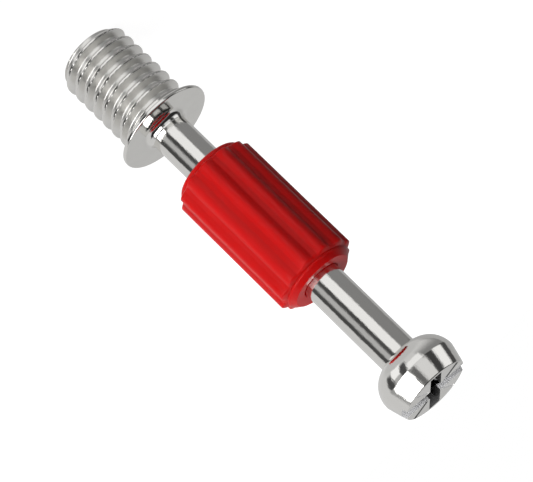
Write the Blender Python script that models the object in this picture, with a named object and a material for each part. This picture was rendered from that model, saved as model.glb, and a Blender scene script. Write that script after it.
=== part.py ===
"""Cam dowel: a one-piece steel bolt (thread, flange, shank, tapered head) in a ribbed plastic sleeve.

Units are metres. The part stands on its threaded end: +Z runs from the thread to the head, the
middle of the flat thread end is the origin, and the wide slot of the head lies along X.
"""

import math

import bmesh
import bpy

MM = 0.001

# Thread, M6 x 1, right-hand, basic profile.
THREAD_CREST_R = 3.0 * MM
THREAD_PITCH = 1.0 * MM
THREAD_CREST_FLAT = THREAD_PITCH / 8
THREAD_ROOT_FLAT = THREAD_PITCH / 4
THREAD_DEPTH = THREAD_PITCH * 0.5413
THREAD_START_DEG = -73.0
THREAD_CREST_Z = 0.765 * MM
TIP_R = 2.42 * MM
TIP_CHAMFER = 0.62 * MM
THREAD_LENGTH = 8.18 * MM
COLLAR_R = 3.02 * MM
COLLAR_LENGTH = 0.55 * MM
RUNOUT_LENGTH = 0.6 * MM

# Flange and its fillet into the shank.
FLANGE_R = 3.87 * MM
FLANGE_THICKNESS = 0.33 * MM
FLANGE_EDGE = 0.1 * MM
FLANGE_FILLET = 0.62 * MM

# Shank and head. The head's back is a rounded curve, a little squarer than an ellipse, whose middle
# lies inside the shank at a share of its radius.
SHANK_R = 1.533 * MM
SHANK_LENGTH = 24.837 * MM
HEAD_RIDGE_R = 3.19 * MM
HEAD_BACK_LENGTH = 2.02 * MM
HEAD_BACK_MIDDLE = 0.78
HEAD_BACK_SQUARENESS = 2.1
HEAD_CONE_LENGTH = 1.56 * MM
HEAD_FACE_R = 2.79 * MM
HEAD_FACE_EDGE = 0.1 * MM

# Drive recess in the head: a shallow slot along X with a deeper middle, a deep cross slot along Y, and
# a core that goes deepest.
SLOT_WIDTH = 1.2 * MM
SLOT_DEPTH = 0.35 * MM
WING_WIDTH = 1.0 * MM
WING_REACH = 2.55 * MM
WING_END_DEPTH = 0.85 * MM
SIDE_WING_REACH = 1.05 * MM
SIDE_WING_WIDTH = 1.18 * MM
CORE_HALF = 0.47 * MM
RECESS_DEPTH = 1.5 * MM

# Ribbed sleeve, gripping the shank above the flange.
SLEEVE_FROM_FLANGE = 4.83 * MM
SLEEVE_LENGTH = 12.12 * MM
SLEEVE_BORE_CLEARANCE = 0.06 * MM
SLEEVE_BODY_R = 2.88 * MM
SLEEVE_MOUTH_INSET = 0.52 * MM
SLEEVE_MOUTH_LENGTH = 0.47 * MM
SLEEVE_HEEL_EDGE = 0.25 * MM
SLEEVE_BORE_CHAMFER = 0.05 * MM
RIB_COUNT = 12
RIB_PHASE_DEG = 15.0
RIB_HEIGHT = 0.5 * MM
RIB_ROUND_R = 0.58 * MM
RIB_BEVEL = 0.22 * MM
HEEL_LIP = 0.41 * MM
MOUTH_LIP = 0.62 * MM

THREAD_SEGMENTS = 24
ROUND_SEGMENTS = 48
OVERLAP = 0.25 * MM

FLANGE_TOP_Z = THREAD_LENGTH + FLANGE_THICKNESS
HEAD_BACK_Z = FLANGE_TOP_Z + SHANK_LENGTH
HEAD_MIDDLE_R = SHANK_R * HEAD_BACK_MIDDLE
HEAD_BACK_SHARE = (SHANK_R - HEAD_MIDDLE_R) / (HEAD_RIDGE_R - HEAD_MIDDLE_R)
HEAD_BACK_START = math.asin(HEAD_BACK_SHARE ** (HEAD_BACK_SQUARENESS / 2))
HEAD_RIDGE_Z = HEAD_BACK_Z + HEAD_BACK_LENGTH * math.cos(HEAD_BACK_START) ** (2 / HEAD_BACK_SQUARENESS)
HEAD_FACE_Z = HEAD_RIDGE_Z + HEAD_CONE_LENGTH
SLEEVE_Z = FLANGE_TOP_Z + SLEEVE_FROM_FLANGE
SLEEVE_MOUTH_R = SLEEVE_BODY_R - SLEEVE_MOUTH_INSET
RIB_TIP_R = SLEEVE_BODY_R + RIB_HEIGHT


def clear_scene():
    for thing in list(bpy.data.objects):
        bpy.data.objects.remove(thing, do_unlink=True)


def add_object(name, bm, parent=None):
    """Close the bmesh into a named object with outward faces."""
    bmesh.ops.recalc_face_normals(bm, faces=bm.faces[:])
    mesh = bpy.data.meshes.new(name)
    bm.to_mesh(mesh)
    bm.free()
    thing = bpy.data.objects.new(name, mesh)
    bpy.context.scene.collection.objects.link(thing)
    thing.parent = parent
    return thing


def rings_to_solid(bm, rings):
    """Skin a closed chain of equal rings, from each one to the next and from the last to the first."""
    count = len(rings[0])
    verts = [[bm.verts.new(point) for point in ring] for ring in rings]
    for lower, upper in zip(verts, verts[1:] + verts[:1]):
        for j in range(count):
            k = (j + 1) % count
            bm.faces.new((lower[j], lower[k], upper[k], upper[j]))


def revolve(profile, segments):
    """Turn a profile of (radius, height) points, first and last on the axis, into a closed bmesh."""
    bm = bmesh.new()
    low = bm.verts.new((0.0, 0.0, profile[0][1]))
    high = bm.verts.new((0.0, 0.0, profile[-1][1]))
    rings = []
    for radius, height in profile[1:-1]:
        ring = []
        for j in range(segments):
            turn = 2 * math.pi * j / segments
            ring.append(bm.verts.new((radius * math.cos(turn), radius * math.sin(turn), height)))
        rings.append(ring)
    for j in range(segments):
        k = (j + 1) % segments
        bm.faces.new((low, rings[0][k], rings[0][j]))
        bm.faces.new((high, rings[-1][j], rings[-1][k]))
        for lower, upper in zip(rings, rings[1:]):
            bm.faces.new((lower[j], lower[k], upper[k], upper[j]))
    return bm


def arc(centre_r, centre_z, radius, start_deg, end_deg, steps):
    """Points of an arc in the profile plane, 0 degrees along the radius and 90 upwards."""
    points = []
    for i in range(steps + 1):
        turn = math.radians(start_deg + (end_deg - start_deg) * i / steps)
        points.append((centre_r + radius * math.cos(turn), centre_z + radius * math.sin(turn)))
    return points


def head_back(steps):
    """Points of the head's back, from the shank to the ridge."""
    points = []
    for i in range(steps + 1):
        turn = HEAD_BACK_START + (math.pi / 2 - HEAD_BACK_START) * i / steps
        out = max(math.sin(turn), 0.0) ** (2 / HEAD_BACK_SQUARENESS)
        down = max(math.cos(turn), 0.0) ** (2 / HEAD_BACK_SQUARENESS)
        radius = HEAD_MIDDLE_R + (HEAD_RIDGE_R - HEAD_MIDDLE_R) * out
        points.append((radius, HEAD_RIDGE_Z - HEAD_BACK_LENGTH * down))
    return points


def thread_blank():
    """A helical solid of the basic profile, longer than the threaded end at both sides."""
    bm = bmesh.new()
    crest = THREAD_CREST_R
    root = THREAD_CREST_R - THREAD_DEPTH
    flank = (THREAD_PITCH - THREAD_CREST_FLAT - THREAD_ROOT_FLAT) / 2
    steps = [
        (crest, -THREAD_CREST_FLAT / 2),
        (crest, THREAD_CREST_FLAT / 2),
        (root, THREAD_CREST_FLAT / 2 + flank),
        (root, THREAD_CREST_FLAT / 2 + flank + THREAD_ROOT_FLAT),
    ]
    turns = int(math.ceil(THREAD_LENGTH / THREAD_PITCH)) + 3
    base = THREAD_CREST_Z - 2 * THREAD_PITCH
    rows = []
    for turn in range(turns):
        for radius, rise in steps:
            row = []
            for j in range(THREAD_SEGMENTS):
                part = j / THREAD_SEGMENTS
                angle = 2 * math.pi * part + math.radians(THREAD_START_DEG)
                height = base + rise + THREAD_PITCH * (turn + part)
                row.append(bm.verts.new((radius * math.cos(angle), radius * math.sin(angle), height)))
            rows.append(row)
    for low, high in zip(rows, rows[1:]):
        for j in range(THREAD_SEGMENTS - 1):
            bm.faces.new((low[j], low[j + 1], high[j + 1], high[j]))
    last = THREAD_SEGMENTS - 1
    for i in range(len(rows) - 5):
        bm.faces.new((rows[i][last], rows[i + 4][0], rows[i + 5][0], rows[i + 1][last]))
    bottom = [row[0] for row in rows[4::-1]] + rows[0][1:]
    top = [row[last] for row in rows[-5:]] + rows[-1][last - 1::-1]
    for loop, height in ((bottom, base - THREAD_PITCH), (top, base + (turns + 1) * THREAD_PITCH)):
        hub = bm.verts.new((0.0, 0.0, height))
        for a, b in zip(loop, loop[1:] + loop[:1]):
            bm.faces.new((hub, a, b))
    return bm


def thread_envelope():
    """What the thread is cut to: a chamfered tip and a top end inside the flange."""
    clear = THREAD_CREST_R + OVERLAP
    slope = (THREAD_CREST_R - TIP_R) / TIP_CHAMFER
    top = THREAD_LENGTH + FLANGE_THICKNESS / 2
    profile = [(0.0, 0.0), (TIP_R, 0.0), (clear, (clear - TIP_R) / slope), (clear, top), (0.0, top)]
    return revolve(profile, ROUND_SEGMENTS)


def bolt_profile():
    """The turned outline from the thread run-out to the head face."""
    root = THREAD_CREST_R - THREAD_DEPTH - 0.03 * MM
    collar_z = THREAD_LENGTH - COLLAR_LENGTH
    start_z = collar_z - RUNOUT_LENGTH
    points = [(0.0, start_z - OVERLAP), (root - OVERLAP, start_z - OVERLAP), (root, start_z)]
    points += [(COLLAR_R, collar_z), (COLLAR_R, THREAD_LENGTH)]
    points += [(FLANGE_R - FLANGE_EDGE, THREAD_LENGTH), (FLANGE_R, THREAD_LENGTH + FLANGE_EDGE)]
    points += [(FLANGE_R, FLANGE_TOP_Z - FLANGE_EDGE), (FLANGE_R - FLANGE_EDGE, FLANGE_TOP_Z)]
    fillet_r = SHANK_R + FLANGE_FILLET
    points += arc(fillet_r, FLANGE_TOP_Z + FLANGE_FILLET, FLANGE_FILLET, 270, 180, 5)
    points += head_back(10)
    points += [(HEAD_FACE_R, HEAD_FACE_Z - HEAD_FACE_EDGE), (HEAD_FACE_R - HEAD_FACE_EDGE, HEAD_FACE_Z)]
    points.append((0.0, HEAD_FACE_Z))
    return points


def prism(outline, half_width, along_y):
    """A closed prism of an (along, height) outline, centred across its width."""
    bm = bmesh.new()
    sides = []
    for offset in (-half_width, half_width):
        side = []
        for along, height in outline:
            spot = (offset, along, height) if along_y else (along, offset, height)
            side.append(bm.verts.new(spot))
        sides.append(side)
    bm.faces.new(sides[0])
    bm.faces.new(sides[1][::-1])
    for i in range(len(outline)):
        k = (i + 1) % len(outline)
        bm.faces.new((sides[0][i], sides[0][k], sides[1][k], sides[1][i]))
    return bm


def core_cutter():
    """The deep middle of the recess, square and drawn in towards its floor."""
    bm = bmesh.new()
    rings = []
    for half, height in ((CORE_HALF + OVERLAP / 4, HEAD_FACE_Z + OVERLAP),
                         (CORE_HALF * 0.75, HEAD_FACE_Z - RECESS_DEPTH)):
        ring = [bm.verts.new((x * half, y * half, height)) for x, y in ((1, 1), (-1, 1), (-1, -1), (1, -1))]
        rings.append(ring)
    bm.faces.new(rings[0])
    bm.faces.new(rings[1][::-1])
    for i in range(4):
        k = (i + 1) % 4
        bm.faces.new((rings[0][i], rings[0][k], rings[1][k], rings[1][i]))
    return bm


def recess_cutters():
    """The slot, the two pairs of wings and the core, each a convex cutter."""
    top = HEAD_FACE_Z + OVERLAP
    reach = HEAD_RIDGE_R + OVERLAP
    slot_floor = HEAD_FACE_Z - SLOT_DEPTH
    slot = prism([(-reach, top), (reach, top), (reach, slot_floor), (-reach, slot_floor)],
                 SLOT_WIDTH / 2, False)
    deep = HEAD_FACE_Z - RECESS_DEPTH * 0.9
    wings = []
    end = HEAD_FACE_Z - WING_END_DEPTH
    for reach, width, along_y in ((WING_REACH, WING_WIDTH, True), (SIDE_WING_REACH, SIDE_WING_WIDTH, False)):
        outline = [(-reach, top), (reach, top), (reach, end), (CORE_HALF, deep), (-CORE_HALF, deep),
                   (-reach, end)]
        wings.append(prism(outline, width / 2, along_y))
    return [("slot_cutter", slot), ("wing_cutter", wings[0]), ("side_wing_cutter", wings[1]),
            ("core_cutter", core_cutter())]


def rib_section():
    """One rib pitch of the sleeve's outline: (angle from the rib's middle, radius) points."""
    centre = RIB_TIP_R - RIB_ROUND_R
    cosine = (centre ** 2 + SLEEVE_BODY_R ** 2 - RIB_ROUND_R ** 2) / (2 * centre * SLEEVE_BODY_R)
    foot = math.acos(cosine)
    foot_turn = math.atan2(SLEEVE_BODY_R * math.sin(foot), SLEEVE_BODY_R * math.cos(foot) - centre)
    side = []
    for i in range(4):
        turn = foot_turn * i / 3
        x = centre + RIB_ROUND_R * math.cos(turn)
        y = RIB_ROUND_R * math.sin(turn)
        side.append((math.atan2(y, x), math.hypot(x, y)))
    half = math.pi / RIB_COUNT
    points = [(-angle, radius) for angle, radius in side[:0:-1]] + side
    points.append((half, SLEEVE_BODY_R))
    return points


def sleeve_mesh():
    """The ribbed sleeve: a tube with rounded ribs, bevelled rib ends and a drawn-in mouth."""
    section = []
    for rib in range(RIB_COUNT):
        turn = math.radians(RIB_PHASE_DEG) + 2 * math.pi * rib / RIB_COUNT
        section += [(turn + angle, radius) for angle, radius in rib_section()]
    top = SLEEVE_Z + SLEEVE_LENGTH
    bore = SHANK_R + SLEEVE_BORE_CLEARANCE
    rib_low = SLEEVE_Z + HEEL_LIP
    rib_high = top - MOUTH_LIP
    heights = [
        (bore + SLEEVE_BORE_CHAMFER, SLEEVE_Z, False),
        (SLEEVE_BODY_R - SLEEVE_HEEL_EDGE, SLEEVE_Z, False),
        (SLEEVE_BODY_R - SLEEVE_HEEL_EDGE * 0.3, SLEEVE_Z + SLEEVE_HEEL_EDGE * 0.3, False),
        (SLEEVE_BODY_R, SLEEVE_Z + SLEEVE_HEEL_EDGE, False),
        (SLEEVE_BODY_R, rib_low, False),
        (SLEEVE_BODY_R, rib_low + RIB_BEVEL, True),
        (SLEEVE_BODY_R, rib_high - RIB_BEVEL, True),
        (SLEEVE_BODY_R, rib_high, False),
        (SLEEVE_BODY_R, top - SLEEVE_MOUTH_LENGTH, False),
        (SLEEVE_MOUTH_R, top, False),
        (bore + SLEEVE_BORE_CHAMFER, top, False),
        (bore, top - SLEEVE_BORE_CHAMFER, False),
        (bore, SLEEVE_Z + SLEEVE_BORE_CHAMFER, False),
    ]
    rings = []
    for radius, height, ribbed in heights:
        ring = []
        for angle, rib_radius in section:
            r = rib_radius if ribbed else radius
            ring.append((r * math.cos(angle), r * math.sin(angle), height))
        rings.append(ring)
    bm = bmesh.new()
    rings_to_solid(bm, rings)
    return bm


def add_boolean(thing, operation, cutter):
    mod = thing.modifiers.new(cutter.name, "BOOLEAN")
    mod.operation = operation
    mod.solver = "EXACT"
    mod.object = cutter
    cutter.hide_render = True
    cutter.display_type = "WIRE"


def shade_smooth(thing, angle_deg):
    """Smooth shading, with edges sharper than the angle kept crisp."""
    mesh = thing.data
    for face in mesh.polygons:
        face.use_smooth = True
    bm = bmesh.new()
    bm.from_mesh(mesh)
    for edge in bm.edges:
        if len(edge.link_faces) == 2:
            edge.smooth = edge.calc_face_angle(0.0) < math.radians(angle_deg)
    bm.to_mesh(mesh)
    bm.free()


def material(name, colour, roughness, metallic):
    mat = bpy.data.materials.new(name)
    mat.use_nodes = True
    shader = mat.node_tree.nodes["Principled BSDF"]
    shader.inputs["Base Color"].default_value = (*colour, 1.0)
    shader.inputs["Roughness"].default_value = roughness
    shader.inputs["Metallic"].default_value = metallic
    return mat


def main():
    clear_scene()
    root = bpy.data.objects.new("cam_dowel", None)
    bpy.context.scene.collection.objects.link(root)

    steel = material("zinc_plated_steel", (0.8, 0.79, 0.77), 0.18, 1.0)
    plastic = material("red_plastic", (0.66, 0.008, 0.008), 0.32, 0.0)

    bolt = add_object("cam_bolt", revolve(bolt_profile(), ROUND_SEGMENTS), root)
    bolt.data.materials.append(steel)
    shade_smooth(bolt, 30)
    blank = add_object("thread_blank", thread_blank(), root)
    blank.data.materials.append(steel)
    add_boolean(blank, "INTERSECT", add_object("thread_envelope", thread_envelope(), root))
    add_boolean(bolt, "UNION", blank)
    for name, bm in recess_cutters():
        add_boolean(bolt, "DIFFERENCE", add_object(name, bm, root))

    sleeve = add_object("ribbed_sleeve", sleeve_mesh(), root)
    sleeve.data.materials.append(plastic)
    shade_smooth(sleeve, 30)


main()
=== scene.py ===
"""Looks of the cam dowel: a finely turned and threaded bright steel bolt in a ribbed red plastic sleeve.

Units are metres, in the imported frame: the bolt stands on its thread, +Z runs to the head and the wide
slot of the head lies along X. Heights are taken from the frame where it gives them.
"""

import math

import bmesh
import bpy
from mathutils import Matrix, Vector


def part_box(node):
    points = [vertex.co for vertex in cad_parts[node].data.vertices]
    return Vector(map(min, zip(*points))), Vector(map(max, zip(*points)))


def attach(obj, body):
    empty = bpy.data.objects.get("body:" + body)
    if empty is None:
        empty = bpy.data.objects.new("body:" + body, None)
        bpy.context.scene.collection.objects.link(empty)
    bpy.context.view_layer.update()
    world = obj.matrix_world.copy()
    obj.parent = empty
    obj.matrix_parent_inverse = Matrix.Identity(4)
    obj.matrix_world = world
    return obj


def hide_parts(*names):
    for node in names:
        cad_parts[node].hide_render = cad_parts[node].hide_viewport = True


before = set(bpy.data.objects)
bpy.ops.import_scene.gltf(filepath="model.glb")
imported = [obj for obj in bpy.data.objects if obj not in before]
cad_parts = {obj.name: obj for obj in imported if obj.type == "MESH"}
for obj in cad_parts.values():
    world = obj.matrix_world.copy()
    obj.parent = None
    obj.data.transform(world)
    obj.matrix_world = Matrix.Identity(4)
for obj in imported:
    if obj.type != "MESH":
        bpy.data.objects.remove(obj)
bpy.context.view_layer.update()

MM = 0.001
BOLT_LOW, BOLT_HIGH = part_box("cam_bolt")
SLEEVE_LOW, SLEEVE_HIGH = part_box("ribbed_sleeve")

# Thread, M6 x 1, right-hand, with softly broken crest edges and a rounded root.
CREST_R = 3.0 * MM
PITCH = 1.0 * MM
CREST_FLAT = PITCH * 0.155
THREAD_DEPTH = PITCH * 0.5413
FLANK_SLOPE = 1 / math.tan(math.radians(27.5))
CREST_ROUND = 0.035 * MM
ROOT_ROUND = 0.06 * MM
THREAD_START = math.radians(-73.0)
THREAD_CREST_Z = 0.765 * MM
TIP_R = 2.42 * MM
TIP_CHAMFER = 0.62 * MM
TIP_EDGE = 0.07 * MM
THREAD_LENGTH = 8.18 * MM
RUNOUT_FROM = 7.27 * MM
RUNOUT_TO = 7.75 * MM

# Flange, shank and head.
FLANGE_R = BOLT_HIGH.x
FLANGE_THICKNESS = 0.33 * MM
FLANGE_EDGE = 0.1 * MM
FLANGE_FILLET = 0.62 * MM
SHANK_R = 1.533 * MM
HEAD_RIDGE_R = 3.19 * MM
HEAD_BACK_LENGTH = 2.02 * MM
HEAD_BACK_MIDDLE = 0.78
HEAD_BACK_SQUARENESS = 2.1
HEAD_CONE_LENGTH = 1.56 * MM
HEAD_FACE_R = 2.79 * MM
HEAD_FACE_EDGE = 0.1 * MM
RIDGE_EDGE = 0.04 * MM

# Drive recess.
SLOT_WIDTH = 1.2 * MM
SLOT_DEPTH = 0.35 * MM
WING_WIDTH = 1.0 * MM
WING_REACH = 2.55 * MM
WING_END_DEPTH = 0.85 * MM
SIDE_WING_REACH = 1.05 * MM
SIDE_WING_WIDTH = 1.18 * MM
CORE_HALF = 0.47 * MM
RECESS_DEPTH = 1.5 * MM
TICK_WIDTH = 0.36 * MM
TICK_DEPTH = 0.2 * MM
TICK_FROM = 1.0 * MM
TICK_TO = 2.72 * MM
TICK_FAINT_TO = 2.55 * MM
TICK_FAINT_DEPTH = 0.03 * MM
TICK_ASIDE = (-0.04 * MM, 0.0, -0.17 * MM, 0.0)
RECESS_BEVEL = 0.02 * MM
CUT_OVER = 0.25 * MM

# Ribbed sleeve.
SLEEVE_BORE_R = SHANK_R + 0.06 * MM
SLEEVE_BODY_R = 2.88 * MM
SLEEVE_MOUTH_R = 2.45 * MM
MOUTH_DISH = 0.1 * MM
MOUTH_SHORT = 0.1 * MM
MOUTH_LENGTH = 0.37 * MM
MOUTH_ROUND = 0.08 * MM
HEEL_EDGE = 0.25 * MM
BORE_EDGE = 0.04 * MM
RIB_COUNT = 12
RIB_PHASE = math.radians(15.0)
RIB_TIP_R = 3.38 * MM
RIB_ROUND_R = 0.58 * MM
RIB_FOOT_ROUND = 0.25 * MM
RIB_GROOVE_R = RIB_TIP_R - RIB_FOOT_ROUND
RIB_BEVEL = 0.22 * MM
HEEL_LIP = 0.41 * MM
MOUTH_LIP = 0.62 * MM

# Fineness of the meshes.
BOLT_COLUMNS = 160
THREAD_ROW = 0.025 * MM
RIB_COLUMNS = 24
SLEEVE_BODY_ROWS = 12

# Camera, measured in the photograph: where it stands, how it is rolled and where it points.
PHOTO_WIDTH, PHOTO_HEIGHT = 533, 482
VIEW_CENTRE = Vector((0.0, 0.0, 18.07 * MM))
VIEW_AZIMUTH = math.radians(-73.0)
VIEW_ELEVATION = math.radians(20.6)
VIEW_DISTANCE = 194.7 * MM
VIEW_ROLL = math.radians(134.27)
VIEW_LENS = 183.1
CENTRE_PX = (253.5, 213.8)

# Flag: its middle's azimuth from the camera towards its right, its reach to both sides of that and its
# distance from the bolt's axis.
FLAG_AZIMUTH = -97.0
FLAG_REACH = (-60.0, 72.0)
FLAG_DISTANCE = 30 * MM
FLAG_LOW, FLAG_HIGH = -25 * MM, 65 * MM

# Floor: its rings, and how its glow grows from the part outwards, over these distances from the axis.
FLOOR_RADII = (10 * MM, 30 * MM, 70 * MM, 140 * MM)
FLOOR_COLUMNS = 96
FLOOR_FADE = (20 * MM, 45 * MM)
FLOOR_GLOW = 0.9

# Colours and surfaces.
RED = (0.64, 0.006, 0.006)
STEEL = (0.80, 0.79, 0.765)
# Painted shade: a dark base colour laid on the recess's long wings and two of its ticks, standing in for the
# shade in them.
RECESS_PAINTED_SHADE = (0.2, 0.2, 0.2)
RECESS_PALE = (0.78, 0.78, 0.79)
RECESS_METAL = 0.35
RECESS_ROUGHNESS = 0.4
THREAD_ROUGHNESS = 0.3

HEAD_FACE_Z = BOLT_HIGH.z
HEAD_RIDGE_Z = HEAD_FACE_Z - HEAD_CONE_LENGTH
HEAD_MIDDLE_R = SHANK_R * HEAD_BACK_MIDDLE
FLANGE_TOP_Z = THREAD_LENGTH + FLANGE_THICKNESS


def smooth_min(a, b, width):
    """The lower of two values, with the corner between them rounded over the width."""
    h = max(width - abs(a - b), 0.0) / width
    return min(a, b) - h * h * width / 4


def smooth_max(a, b, width):
    return -smooth_min(-a, -b, width)


def arc(centre_r, centre_z, radius, start_deg, end_deg, steps):
    """Points of an arc in the profile plane, 0 degrees along the radius and 90 upwards."""
    points = []
    for i in range(steps + 1):
        turn = math.radians(start_deg + (end_deg - start_deg) * i / steps)
        points.append((centre_r + radius * math.cos(turn), centre_z + radius * math.sin(turn)))
    return points


def around(radius, height, columns):
    """A level ring of points."""
    ring = []
    for j in range(columns):
        turn = 2 * math.pi * j / columns
        ring.append((radius * math.cos(turn), radius * math.sin(turn), height))
    return ring


def skin(bm, rings, low_hub=None, high_hub=None):
    """Join equal rings from first to last, and close the ends to a middle point where one is given."""
    rows = [[bm.verts.new(point) for point in ring] for ring in rings]
    count = len(rings[0])
    for low, high in zip(rows, rows[1:]):
        for j in range(count):
            k = (j + 1) % count
            bm.faces.new((low[j], low[k], high[k], high[j]))
    if low_hub is not None:
        hub = bm.verts.new(low_hub)
        for j in range(count):
            bm.faces.new((hub, rows[0][(j + 1) % count], rows[0][j]))
    if high_hub is not None:
        hub = bm.verts.new(high_hub)
        for j in range(count):
            bm.faces.new((hub, rows[-1][j], rows[-1][(j + 1) % count]))
    return rows


def new_object(name, bm):
    mesh = bpy.data.meshes.new(name)
    bm.to_mesh(mesh)
    bm.free()
    thing = bpy.data.objects.new(name, mesh)
    bpy.context.scene.collection.objects.link(thing)
    return thing


def shade(thing, angle_deg):
    """Smooth shading, with edges sharper than the angle kept crisp."""
    bm = bmesh.new()
    bm.from_mesh(thing.data)
    for face in bm.faces:
        face.smooth = True
    for edge in bm.edges:
        if len(edge.link_faces) == 2:
            edge.smooth = edge.calc_face_angle(0.0) < math.radians(angle_deg)
    bm.to_mesh(thing.data)
    bm.free()


def stud_radius(turn, z):
    """Radius of the threaded stud at an angle and a height."""
    root = CREST_R - THREAD_DEPTH
    phase = (z - THREAD_CREST_Z) / PITCH - (turn - THREAD_START) / (2 * math.pi)
    away = abs(phase - round(phase)) * PITCH
    flank = CREST_R - (away - CREST_FLAT / 2) * FLANK_SLOPE
    radius = smooth_max(smooth_min(CREST_R, flank, CREST_ROUND), root, ROOT_ROUND)
    groove_z = z - (phase - math.floor(phase) - 0.5) * PITCH
    fade = min(max((groove_z - RUNOUT_FROM) / (RUNOUT_TO - RUNOUT_FROM), 0.0), 1.0)
    radius = CREST_R - (CREST_R - radius) * (1 - fade * fade * (3 - 2 * fade))
    chamfer = TIP_R + z * (CREST_R - TIP_R) / TIP_CHAMFER
    radius = smooth_min(radius, chamfer, CREST_ROUND)
    if z < TIP_EDGE:
        radius -= TIP_EDGE - math.sqrt(TIP_EDGE ** 2 - (TIP_EDGE - z) ** 2)
    return radius


def stud_rings():
    heights = [TIP_EDGE * (1 - math.cos(math.pi / 2 * i / 4)) for i in range(4)]
    rows = int(round((THREAD_LENGTH - TIP_EDGE) / THREAD_ROW))
    heights += [TIP_EDGE + (THREAD_LENGTH - TIP_EDGE) * i / rows for i in range(rows + 1)]
    rings = []
    for z in heights:
        ring = []
        for j in range(BOLT_COLUMNS):
            turn = 2 * math.pi * j / BOLT_COLUMNS
            radius = stud_radius(turn, z)
            ring.append((radius * math.cos(turn), radius * math.sin(turn), z))
        rings.append(ring)
    end_r = TIP_R - TIP_EDGE
    face = [around(end_r * part, 0.0, BOLT_COLUMNS) for part in (0.3, 0.6, 0.9)]
    return face + rings


def head_back(steps):
    """Points of the head's back, from the shank to the ridge: a curve a little squarer than an ellipse."""
    power = 2 / HEAD_BACK_SQUARENESS
    start = math.asin(((SHANK_R - HEAD_MIDDLE_R) / (HEAD_RIDGE_R - HEAD_MIDDLE_R)) ** (1 / power))
    points = []
    for i in range(steps + 1):
        turn = start + (math.pi / 2 - start) * i / steps
        radius = HEAD_MIDDLE_R + (HEAD_RIDGE_R - HEAD_MIDDLE_R) * max(math.sin(turn), 0.0) ** power
        points.append((radius, HEAD_RIDGE_Z - HEAD_BACK_LENGTH * max(math.cos(turn), 0.0) ** power))
    return points


def body_outline():
    """The turned outline above the thread, from the flange's underside to the head's ridge."""
    edge = FLANGE_EDGE
    points = [(CREST_R + 0.04 * MM, THREAD_LENGTH)]
    points += [(FLANGE_R - edge - 0.3 * MM, THREAD_LENGTH)]
    points += arc(FLANGE_R - edge, THREAD_LENGTH + edge, edge, -90, 0, 5)
    points += arc(FLANGE_R - edge, FLANGE_TOP_Z - edge, edge, 0, 90, 5)
    points += [(FLANGE_R - edge - 0.3 * MM, FLANGE_TOP_Z), (FLANGE_R * 0.75, FLANGE_TOP_Z)]
    points += arc(SHANK_R + FLANGE_FILLET, FLANGE_TOP_Z + FLANGE_FILLET, FLANGE_FILLET, 270, 180, 14)
    back = head_back(40)
    low, high = points[-1][1], back[0][1]
    points += [(SHANK_R, low + (high - low) * i / 24) for i in range(1, 24)]
    return points + back


def clip_ridge(points):
    """Break the outline's last corner, at the head's ridge, by a small flat."""
    r, z = points[-1]
    return points[:-1] + [(r - RIDGE_EDGE * 0.08, z - RIDGE_EDGE)]


def front_outline():
    """From the ridge to the edge of the head's face."""
    slope = (HEAD_RIDGE_R - HEAD_FACE_R) / HEAD_CONE_LENGTH
    edge = HEAD_FACE_EDGE
    points = [(HEAD_RIDGE_R - RIDGE_EDGE * slope - RIDGE_EDGE * 0.1, HEAD_RIDGE_Z + RIDGE_EDGE)]
    for part in (0.25, 0.5, 0.75):
        z = HEAD_RIDGE_Z + HEAD_CONE_LENGTH * part
        points.append((HEAD_RIDGE_R - slope * HEAD_CONE_LENGTH * part, z))
    tilt = math.degrees(math.atan(slope))
    points += arc(HEAD_FACE_R - edge, HEAD_FACE_Z - edge, edge, tilt, 90, 4)
    return points


def prism(outline, half_width, turn=0.0):
    """A closed prism of an (along, height) outline across the direction of the turn."""
    bm = bmesh.new()
    sides = []
    for offset in (-half_width, half_width):
        side = []
        for along, height in outline:
            x = along * math.cos(turn) - offset * math.sin(turn)
            y = along * math.sin(turn) + offset * math.cos(turn)
            side.append(bm.verts.new((x, y, height)))
        sides.append(side)
    bm.faces.new(sides[0])
    bm.faces.new(sides[1][::-1])
    for i in range(len(outline)):
        k = (i + 1) % len(outline)
        bm.faces.new((sides[0][i], sides[0][k], sides[1][k], sides[1][i]))
    bmesh.ops.recalc_face_normals(bm, faces=bm.faces[:])
    return bm


def core_cutter():
    """The deep middle of the recess, square and drawn in towards its floor."""
    bm = bmesh.new()
    rings = []
    corners = ((1, 1), (-1, 1), (-1, -1), (1, -1))
    for half, height in ((CORE_HALF + CUT_OVER / 4, HEAD_FACE_Z + CUT_OVER),
                         (CORE_HALF * 0.75, HEAD_FACE_Z - RECESS_DEPTH)):
        rings.append([bm.verts.new((x * half, y * half, height)) for x, y in corners])
    bm.faces.new(rings[0])
    bm.faces.new(rings[1][::-1])
    for i in range(4):
        k = (i + 1) % 4
        bm.faces.new((rings[0][i], rings[0][k], rings[1][k], rings[1][i]))
    bmesh.ops.recalc_face_normals(bm, faces=bm.faces[:])
    return bm


def tick_cutter(turn, aside, faint):
    """A thin V-shaped line scribed on the face, from the recess towards the rim, a little off the middle."""
    bm = bmesh.new()
    ends = []
    depth = TICK_FAINT_DEPTH if faint else TICK_DEPTH
    width = TICK_WIDTH * (0.6 if faint else 1.0)
    for along in (TICK_FROM, TICK_FAINT_TO if faint else TICK_TO):
        end = []
        for side, height in ((-width, HEAD_FACE_Z + depth), (width, HEAD_FACE_Z + depth),
                             (0.0, HEAD_FACE_Z - depth)):
            across = side + aside
            x = along * math.cos(turn) - across * math.sin(turn)
            y = along * math.sin(turn) + across * math.cos(turn)
            end.append(bm.verts.new((x, y, height)))
        ends.append(end)
    bm.faces.new(ends[0])
    bm.faces.new(ends[1][::-1])
    for i in range(3):
        k = (i + 1) % 3
        bm.faces.new((ends[0][i], ends[0][k], ends[1][k], ends[1][i]))
    bmesh.ops.recalc_face_normals(bm, faces=bm.faces[:])
    return bm


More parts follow.
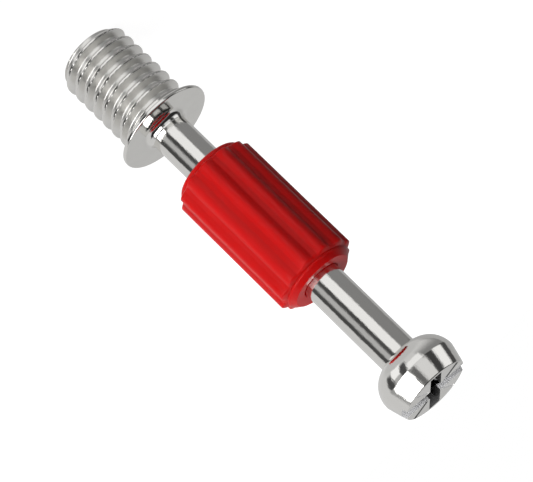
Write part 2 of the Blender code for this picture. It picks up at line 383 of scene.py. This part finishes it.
def recess_cutters():
    top = HEAD_FACE_Z + CUT_OVER
    reach = HEAD_RIDGE_R + CUT_OVER
    floor = HEAD_FACE_Z - SLOT_DEPTH
    cutters = [prism([(-reach, top), (reach, top), (reach, floor), (-reach, floor)], SLOT_WIDTH / 2)]
    deep = HEAD_FACE_Z - RECESS_DEPTH * 0.9
    end = HEAD_FACE_Z - WING_END_DEPTH
    for reach, width, turn in ((WING_REACH, WING_WIDTH, math.pi / 2),
                               (SIDE_WING_REACH, SIDE_WING_WIDTH, 0.0)):
        outline = [(-reach, top), (reach, top), (reach, end), (CORE_HALF, deep), (-CORE_HALF, deep),
                   (-reach, end)]
        cutters.append(prism(outline, width / 2, turn))
    cutters.append(core_cutter())
    cutters += [tick_cutter(math.radians(45 + 90 * i), aside, i % 2) for i, aside in enumerate(TICK_ASIDE)]
    return cutters


def head_front():
    """The head's cone and face with the recess cut out, open at the ridge ring."""
    bm = bmesh.new()
    rings = [around(r, z, BOLT_COLUMNS) for r, z in front_outline()]
    rows = skin(bm, rings)
    bm.faces.new(rows[0][::-1])
    bm.faces.new(rows[-1])
    bmesh.ops.recalc_face_normals(bm, faces=bm.faces[:])
    blank = new_object("head_blank", bm)
    tools = []
    for i, cutter in enumerate(recess_cutters()):
        tool = new_object("recess_tool_%d" % i, cutter)
        tools.append(tool)
        cut = blank.modifiers.new(tool.name, "BOOLEAN")
        cut.operation = "DIFFERENCE"
        cut.solver = "EXACT"
        cut.object = tool
    depsgraph = bpy.context.evaluated_depsgraph_get()
    mesh = bpy.data.meshes.new_from_object(blank.evaluated_get(depsgraph))
    for thing in tools + [blank]:
        bpy.data.objects.remove(thing, do_unlink=True)
    bm = bmesh.new()
    bm.from_mesh(mesh)
    bpy.data.meshes.remove(mesh)
    bmesh.ops.remove_doubles(bm, verts=bm.verts[:], dist=0.004 * MM)
    ridge = HEAD_RIDGE_Z + RIDGE_EDGE
    caps = [f for f in bm.faces if all(abs(v.co.z - ridge) < 0.001 * MM for v in f.verts)]
    bmesh.ops.delete(bm, geom=caps, context="FACES_ONLY")
    crisp = []
    for edge in bm.edges:
        high = min(v.co.z for v in edge.verts) > ridge + 0.01 * MM
        if high and len(edge.link_faces) == 2 and edge.calc_face_angle(0.0) > math.radians(35):
            crisp.append(edge)
    bmesh.ops.bevel(bm, geom=crisp, offset=RECESS_BEVEL, segments=2, profile=0.5, affect="EDGES",
                    clamp_overlap=True)
    return bm


def bolt_mesh():
    bm = head_front()
    rings = stud_rings()
    rings += [around(r, z, BOLT_COLUMNS) for r, z in clip_ridge(body_outline())]
    r, z = front_outline()[0]
    rings.append(around(r, z, BOLT_COLUMNS))
    skin(bm, rings, low_hub=(0.0, 0.0, 0.0))
    bmesh.ops.remove_doubles(bm, verts=bm.verts[:], dist=0.0005 * MM)
    bmesh.ops.recalc_face_normals(bm, faces=bm.faces[:])
    return bm


def rib_radius(turn):
    """Radius of the ribbed outline at an angle: round beads over shallow grooves with soft feet."""
    step = 2 * math.pi / RIB_COUNT
    away = (turn - RIB_PHASE + step / 2) % step - step / 2
    centre = RIB_TIP_R - RIB_ROUND_R
    across = centre * math.sin(away)
    bead = centre * math.cos(away) + math.sqrt(max(RIB_ROUND_R ** 2 - across ** 2, 0.0))
    return smooth_max(bead, RIB_GROOVE_R, RIB_FOOT_ROUND)


def mouth_outline(high):
    """The mouth's chamfer, drawn in from the body to the flat end, with both corners eased."""
    points = []
    slope = (SLEEVE_BODY_R - SLEEVE_MOUTH_R) / MOUTH_LENGTH
    span = MOUTH_LENGTH + 2 * MOUTH_ROUND
    for i in range(17):
        z = high - MOUTH_LENGTH - MOUTH_ROUND + span * i / 16
        r = smooth_min(SLEEVE_BODY_R, SLEEVE_MOUTH_R + (high - z) * slope, MOUTH_ROUND)
        if z < high - 0.01 * MM:
            points.append((r, z))
    points.append((SLEEVE_MOUTH_R + 0.01 * MM, high - 0.004 * MM))
    points.append((SLEEVE_MOUTH_R - 0.02 * MM, high))
    return points


def sleeve_outline():
    """(radius, height, rib share) rows from the bore at the heel round the outside to the bore again."""
    low, high = SLEEVE_LOW.z, SLEEVE_HIGH.z
    rib_low = low + HEEL_LIP
    rib_high = high - MOUTH_LIP
    body = SLEEVE_BODY_R
    rows = [(SLEEVE_BORE_R + BORE_EDGE, low, 0.0), (SLEEVE_BORE_R + BORE_EDGE + 0.3 * MM, low, 0.0)]
    rows += [(body - HEEL_EDGE - 0.2 * MM, low, 0.0)]
    rows += [(r, z, 0.0) for r, z in arc(body - HEEL_EDGE, low + HEEL_EDGE, HEEL_EDGE, -90, 0, 5)]
    rows += [(body, rib_low, 0.0)]
    rows += [(body, rib_low + RIB_BEVEL * i / 6, math.sin(math.pi / 2 * i / 6)) for i in range(1, 7)]
    start, end = rib_low + RIB_BEVEL, rib_high - RIB_BEVEL
    rows += [(body, start + (end - start) * i / SLEEVE_BODY_ROWS, 1.0) for i in range(1, SLEEVE_BODY_ROWS)]
    rows += [(body, rib_high - RIB_BEVEL * i / 6, math.sin(math.pi / 2 * i / 6)) for i in range(6, 0, -1)]
    mouth = high - MOUTH_SHORT
    rows += [(body, rib_high, 0.0), (body, mouth - MOUTH_LENGTH - MOUTH_ROUND, 0.0)]
    rows += [(r, z, 0.0) for r, z in mouth_outline(mouth)]
    bore_top = mouth - MOUTH_DISH
    rows += [(SLEEVE_BORE_R + BORE_EDGE + 0.1 * MM, bore_top + 0.01 * MM, 0.0)]
    bore_corner = arc(SLEEVE_BORE_R + BORE_EDGE, bore_top - BORE_EDGE, BORE_EDGE, 90, 180, 4)
    rows += [(r, z, 0.0) for r, z in bore_corner]
    rows += [(SLEEVE_BORE_R, low + BORE_EDGE, 0.0)]
    return rows


def sleeve_mesh():
    columns = RIB_COUNT * RIB_COLUMNS
    rings = []
    for radius, height, share in sleeve_outline():
        ring = []
        for j in range(columns):
            turn = 2 * math.pi * j / columns + RIB_PHASE
            r = radius + (rib_radius(turn) - SLEEVE_BODY_R) * share
            ring.append((r * math.cos(turn), r * math.sin(turn), height))
        rings.append(ring)
    bm = bmesh.new()
    rows = skin(bm, rings)
    for j in range(columns):
        k = (j + 1) % columns
        bm.faces.new((rows[-1][j], rows[-1][k], rows[0][k], rows[0][j]))
    bmesh.ops.recalc_face_normals(bm, faces=bm.faces[:])
    return bm


class Tree:
    """Short calls for building a node tree."""

    def __init__(self, tree):
        self.tree = tree

    def node(self, kind, **settings):
        made = self.tree.nodes.new(kind)
        for key, value in settings.items():
            setattr(made, key, value)
        return made

    def link(self, out, into):
        self.tree.links.new(out, into)

    def put(self, value, socket):
        if isinstance(value, bpy.types.NodeSocket):
            self.link(value, socket)
        else:
            socket.default_value = value

    def maths(self, operation, a, b=None):
        made = self.node("ShaderNodeMath", operation=operation)
        self.put(a, made.inputs[0])
        if b is not None:
            self.put(b, made.inputs[1])
        return made.outputs[0]

    def ramp(self, value, low, high, to_low, to_high, smooth=True):
        made = self.node("ShaderNodeMapRange", interpolation_type="SMOOTHSTEP" if smooth else "LINEAR")
        for socket, given in zip(made.inputs, (value, low, high, to_low, to_high)):
            self.put(given, socket)
        return made.outputs[0]

    def noise(self, vector, scale, detail=2.0, rough=0.5):
        made = self.node("ShaderNodeTexNoise")
        self.link(vector, made.inputs["Vector"])
        made.inputs["Scale"].default_value = scale
        made.inputs["Detail"].default_value = detail
        made.inputs["Roughness"].default_value = rough
        return made.outputs["Fac"]

    def stretched(self, vector, scale):
        made = self.node("ShaderNodeMapping")
        self.link(vector, made.inputs["Vector"])
        made.inputs["Scale"].default_value = scale
        return made.outputs["Vector"]

    def tint(self, share, a, b):
        made = self.node("ShaderNodeMix", data_type="RGBA")
        self.put(share, made.inputs[0])
        for socket, colour in zip((made.inputs[6], made.inputs[7]), (a, b)):
            self.put(colour if isinstance(colour, bpy.types.NodeSocket) else (*colour, 1.0), socket)
        return made.outputs[2]

    def bump(self, height, distance, before=None):
        made = self.node("ShaderNodeBump")
        made.inputs["Strength"].default_value = 1.0
        made.inputs["Distance"].default_value = distance
        self.link(height, made.inputs["Height"])
        if before is not None:
            self.link(before, made.inputs["Normal"])
        return made.outputs["Normal"]


def new_material(name):
    mat = bpy.data.materials.new(name)
    mat.use_nodes = True
    return mat, Tree(mat.node_tree), mat.node_tree.nodes["Principled BSDF"]


def from_axis(t, spot):
    """A place's x, y and z, and its distance from the bolt's axis."""
    apart = t.node("ShaderNodeSeparateXYZ")
    t.link(spot, apart.inputs[0])
    x, y, z = apart.outputs
    radius = t.maths("SQRT", t.maths("ADD", t.maths("MULTIPLY", x, x), t.maths("MULTIPLY", y, y)))
    return x, y, z, radius


def thread_mask(t, spot):
    """Share of the thread's grooves, under the crests and below the flange."""
    x, y, z, radius = from_axis(t, spot)
    return t.maths("MULTIPLY", t.ramp(radius, CREST_R - 0.05 * MM, CREST_R - 0.015 * MM, 1.0, 0.0),
                   t.maths("LESS_THAN", z, THREAD_LENGTH - 0.02 * MM))


def recess_masks(t, spot):
    """Three shares: the stamped recess, its painted shade (a dark mask over both long wings and two ticks,
    standing in for the shade in them) and its pale rest.
    """
    x, y, z, radius = from_axis(t, spot)
    depth = t.maths("SUBTRACT", HEAD_FACE_Z, z)
    below = t.maths("MULTIPLY", t.maths("LESS_THAN", depth, RECESS_DEPTH + 0.1 * MM),
                    t.ramp(depth, 0.005 * MM, 0.02 * MM, 0.0, 1.0))
    in_slot = t.maths("MULTIPLY", t.maths("LESS_THAN", depth, SLOT_DEPTH + 0.015 * MM),
                      t.maths("LESS_THAN", t.maths("ABSOLUTE", y), SLOT_WIDTH / 2 + 0.02 * MM))
    inside = t.maths("MAXIMUM", in_slot, t.maths("LESS_THAN", radius, HEAD_FACE_R - 0.12 * MM))
    recess = t.maths("MULTIPLY", below, inside)
    # Painted shade on both long wings, outside the middle third of the slot's width.
    painted_shade = t.maths("MULTIPLY", t.maths("LESS_THAN", t.maths("ABSOLUTE", x), WING_WIDTH / 2 + 0.03 * MM),
                   t.maths("GREATER_THAN", t.maths("ABSOLUTE", y), SLOT_WIDTH / 6))
    beside_slot = t.maths("GREATER_THAN", t.maths("ABSOLUTE", y), SLOT_WIDTH / 2 + 0.03 * MM)
    # Painted shade along the two ticks at 45 and 225 degrees, beside the slot; the other two ticks are left
    # pale.
    for turn, aside in ((math.radians(45), TICK_ASIDE[0]), (math.radians(225), TICK_ASIDE[2])):
        along = t.maths("ADD", t.maths("MULTIPLY", x, math.cos(turn)), t.maths("MULTIPLY", y, math.sin(turn)))
        across = t.maths("SUBTRACT", t.maths("MULTIPLY", y, math.cos(turn)),
                         t.maths("MULTIPLY", x, math.sin(turn)))
        near = t.maths("LESS_THAN", t.maths("ABSOLUTE", t.maths("SUBTRACT", across, aside)), TICK_WIDTH / 2)
        tick = t.maths("MULTIPLY", near, t.maths("GREATER_THAN", along, TICK_FROM))
        painted_shade = t.maths("MAXIMUM", painted_shade, t.maths("MULTIPLY", tick, beside_slot))
    painted_shade = t.maths("MULTIPLY", recess, painted_shade)
    return recess, painted_shade, t.maths("SUBTRACT", recess, painted_shade)


def steel_material():
    """Bright plating over turned steel: faint cloudiness, and a fine orange-peel stretched along the bolt.
    The recess's long wings and two of its ticks carry painted shade.
    """
    mat, t, shader = new_material("bright_plated_steel")
    spot = t.node("ShaderNodeTexCoord").outputs["Object"]
    cloud = t.noise(t.stretched(spot, (1.0, 1.0, 0.4)), 900.0, 3.0)
    recess, painted_shade, pale = recess_masks(t, spot)
    plating = t.tint(cloud, tuple(c * 0.96 for c in STEEL), tuple(min(c * 1.04, 1.0) for c in STEEL))
    # Painted shade: the dark share of the recess takes a dark base colour in place of the shade in its wings
    # and ticks; the rest of the recess is pale, rougher and less metallic.
    t.link(t.tint(painted_shade, t.tint(recess, plating, RECESS_PALE), RECESS_PAINTED_SHADE), shader.inputs["Base Color"])
    t.link(t.ramp(pale, 0.0, 1.0, 1.0, RECESS_METAL), shader.inputs["Metallic"])
    smoothness = t.ramp(cloud, 0.3, 0.75, 0.07, 0.12)
    smoothness = t.ramp(thread_mask(t, spot), 0.0, 1.0, smoothness, THREAD_ROUGHNESS)
    t.link(t.ramp(recess, 0.0, 1.0, smoothness, RECESS_ROUGHNESS), shader.inputs["Roughness"])
    peel = t.noise(t.stretched(spot, (1.0, 1.0, 0.55)), 5200.0, 2.0)
    fine = t.noise(spot, 14000.0, 1.0)
    normal = t.bump(peel, 0.006 * MM)
    normal = t.bump(fine, 0.0009 * MM, normal)
    t.link(normal, shader.inputs["Normal"])
    return mat


def plastic_material():
    """Moulded red plastic, half gloss, with a soft grain and faint flow streaks along the ribs."""
    mat, t, shader = new_material("red_plastic")
    spot = t.node("ShaderNodeTexCoord").outputs["Object"]
    streak = t.noise(t.stretched(spot, (1.0, 1.0, 0.15)), 700.0, 3.0)
    grain = t.noise(spot, 9000.0, 2.0)
    t.link(t.tint(streak, tuple(c * 0.93 for c in RED), tuple(min(c * 1.07, 1.0) for c in RED)),
           shader.inputs["Base Color"])
    t.link(t.ramp(streak, 0.3, 0.7, 0.30, 0.38), shader.inputs["Roughness"])
    shader.inputs["IOR"].default_value = 1.5
    shader.inputs["Specular IOR Level"].default_value = 0.18
    shader.inputs["Subsurface Weight"].default_value = 1.0
    shader.inputs["Subsurface Radius"].default_value = (1.0, 0.08, 0.06)
    shader.inputs["Subsurface Scale"].default_value = 0.8 * MM
    t.link(t.bump(grain, 0.0012 * MM), shader.inputs["Normal"])
    return mat


# Studio as the steel sees it: cards painted in this order over a light tent. Each has its azimuth from
# the camera towards its right, its elevation, half width, half height, the softness of its upright and
# level edges, how much wider it gets downwards (all in degrees or degree per degree), and its radiance.
TENT = 0.68
CARDS = {
    "left_back": (-150, -5, 35, 50, 20, 20, 0.0, 0.44),
    "back": (180, 15, 30, 25, 20, 20, 0.0, 0.56),
    "underside": (0, -78, 200, 22, 1, 14, 0.0, 0.584),
    "left_wall": (-82, -8, 44, 30, 6, 34, 0.0, 0.25),
    "left_gap": (-114, 12, 11, 26, 6, 8, 0.0, 0.072),
    "left_window": (-88, 8, 15.5, 13, 7, 5, 0.0, 1.016),
    "window_gap": (-58, 14, 11, 16, 6, 6, 0.0, 0.056),
    "upper_window": (-30, 17, 16.5, 11.5, 8, 4, 0.0, 0.784),
    "lower_window": (-18, -16, 24, 19, 10, 6, 0.0, 0.984),
    "middle_gap": (2, 18, 10, 12, 7, 4, 0.0, 0.152),
    "right_dark": (47, -22, 39, 28, 6, 12, 0.2, 0.072),
    "grey_strip": (45, -12, 14, 16, 12, 6, 0.0, 0.5),
    "lower_box": (46, -42, 19, 15, 5, 4, 0.35, 1.056),
    "side_gap": (82, 12, 6, 20, 6, 8, 0.0, 0.36),
    "roof": (-10, 46, 115, 17, 12, 5, 0.0, 0.024),
    "roof_top": (0, 78, 200, 15, 1, 6, 0.0, 0.144),
    "key_box": (44.5, 19, 30.5, 15.2, 5, 5, 0.0, 4.5),
}


def studio_world():
    """White to the camera; metal and plastic see a light tent with its soft boxes and dark gaps."""
    world = bpy.data.worlds.new("studio")
    bpy.context.scene.world = world
    world.use_nodes = True
    t = Tree(world.node_tree)
    aim = t.node("ShaderNodeSeparateXYZ")
    t.link(t.node("ShaderNodeTexCoord").outputs["Generated"], aim.inputs[0])
    x, y, z = aim.outputs
    azimuth = t.maths("SUBTRACT", t.maths("ARCTAN2", y, x), VIEW_AZIMUTH)
    elevation = t.maths("ARCSINE", z)
    level = TENT
    for az, el, half_az, half_el, soft_az, soft_el, flare, radiance in CARDS.values():
        sideways = t.maths("PINGPONG", t.maths("SUBTRACT", azimuth, math.radians(az)), math.pi)
        above = t.maths("SUBTRACT", elevation, math.radians(el))
        if flare:
            sideways = t.maths("ADD", sideways, t.maths("MULTIPLY", above, flare))
        half_az, soft_az = math.radians(half_az), math.radians(soft_az)
        half_el, soft_el = math.radians(half_el), math.radians(soft_el)
        upright = t.maths("ABSOLUTE", above)
        inside = t.maths("MULTIPLY",
                         t.ramp(sideways, half_az - soft_az / 2, half_az + soft_az / 2, 1.0, 0.0),
                         t.ramp(upright, half_el - soft_el / 2, half_el + soft_el / 2, 1.0, 0.0))
        level = t.ramp(inside, 0.0, 1.0, level, radiance, smooth=False)
    shown = t.ramp(t.node("ShaderNodeLightPath").outputs["Is Camera Ray"], 0.0, 1.0, level, 1.0, smooth=False)
    t.link(shown, world.node_tree.nodes["Background"].inputs["Strength"])
    world.node_tree.nodes["Background"].inputs["Color"].default_value = (1.0, 1.0, 1.0, 1.0)


def floor():
    """A pale floor that is white to the camera and keeps a soft shadow."""
    bm = bmesh.new()
    skin(bm, [around(radius, 0.0, FLOOR_COLUMNS) for radius in FLOOR_RADII], low_hub=(0.0, 0.0, 0.0))
    bmesh.ops.recalc_face_normals(bm, faces=bm.faces[:])
    disc = new_object("floor", bm)
    mat = bpy.data.materials.new("pale_floor")
    mat.use_nodes = True
    t = Tree(mat.node_tree)
    mat.node_tree.nodes.remove(mat.node_tree.nodes["Principled BSDF"])
    diffuse = t.node("ShaderNodeBsdfDiffuse")
    diffuse.inputs["Color"].default_value = (0.35, 0.35, 0.35, 1.0)
    away = from_axis(t, t.node("ShaderNodeTexCoord").outputs["Object"])[3]
    brightness = t.ramp(away, *FLOOR_FADE, FLOOR_GLOW, 1.0)
    glow = t.node("ShaderNodeEmission")
    t.link(t.maths("MULTIPLY", t.node("ShaderNodeLightPath").outputs["Is Camera Ray"], brightness),
           glow.inputs["Strength"])
    both = t.node("ShaderNodeAddShader")
    t.link(diffuse.outputs[0], both.inputs[0])
    t.link(glow.outputs[0], both.inputs[1])
    t.link(both.outputs[0], mat.node_tree.nodes["Material Output"].inputs["Surface"])
    disc.data.materials.append(mat)
    disc.visible_diffuse = disc.visible_glossy = disc.visible_shadow = False


def flag():
    """A black card at the left that holds soft light off the shaded side; reflections don't show it."""
    bm = bmesh.new()
    left, right = (FLAG_DISTANCE * math.tan(math.radians(side)) for side in FLAG_REACH)
    corners = [(FLAG_DISTANCE, left), (FLAG_DISTANCE, right)]
    turn = VIEW_AZIMUTH + math.radians(FLAG_AZIMUTH)
    face = []
    for (out, aside), height in ((corners[0], FLAG_LOW), (corners[1], FLAG_LOW),
                                 (corners[1], FLAG_HIGH), (corners[0], FLAG_HIGH)):
        x = out * math.cos(turn) - aside * math.sin(turn)
        y = out * math.sin(turn) + aside * math.cos(turn)
        face.append(bm.verts.new((x, y, height)))
    bm.faces.new(face)
    card = new_object("flag", bm)
    mat, t, shader = new_material("black_card")
    shader.inputs["Base Color"].default_value = (0.01, 0.01, 0.01, 1.0)
    shader.inputs["Roughness"].default_value = 1.0
    card.data.materials.append(mat)
    card.visible_camera = card.visible_glossy = False


def view_axes():
    """The camera's right, up and back directions, before the roll and after it."""
    level = Vector((math.cos(VIEW_AZIMUTH), math.sin(VIEW_AZIMUTH), 0.0))
    back = level * math.cos(VIEW_ELEVATION) + Vector((0, 0, 1)) * math.sin(VIEW_ELEVATION)
    right = Vector((0, 0, 1)).cross(back).normalized()
    up = back.cross(right)
    rolled_right = right * math.cos(VIEW_ROLL) + up * math.sin(VIEW_ROLL)
    return rolled_right, back.cross(rolled_right), back


def camera():
    right, up, back = view_axes()
    data = bpy.data.cameras.new("camera")
    data.lens = VIEW_LENS
    data.sensor_width = 36.0
    data.clip_start, data.clip_end = 0.01, 2.0
    cam = bpy.data.objects.new("camera", data)
    bpy.context.scene.collection.objects.link(cam)
    per_px = VIEW_DISTANCE * data.sensor_width / data.lens / PHOTO_WIDTH
    aside = (PHOTO_WIDTH / 2 - CENTRE_PX[0]) * per_px
    below = (PHOTO_HEIGHT / 2 - CENTRE_PX[1]) * per_px
    spot = VIEW_CENTRE + back * VIEW_DISTANCE
    aim = VIEW_CENTRE + right * aside - up * below
    back = (spot - aim).normalized()
    right = up.cross(back).normalized()
    up = back.cross(right)
    cam.matrix_world = Matrix.Translation(spot) @ Matrix((right, up, back)).transposed().to_4x4()
    bpy.context.scene.camera = cam


steel = steel_material()
plastic = plastic_material()

bolt = new_object("turned_bolt", bolt_mesh())
shade(bolt, 32)
bolt.data.materials.append(steel)
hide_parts("cam_bolt")
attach(bolt, "root")

sleeve = new_object("moulded_sleeve", sleeve_mesh())
shade(sleeve, 50)
sleeve.data.materials.append(plastic)
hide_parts("ribbed_sleeve")
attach(sleeve, "root")

studio_world()
floor()
flag()
camera()
bpy.context.scene.view_settings.view_transform = "Standard"
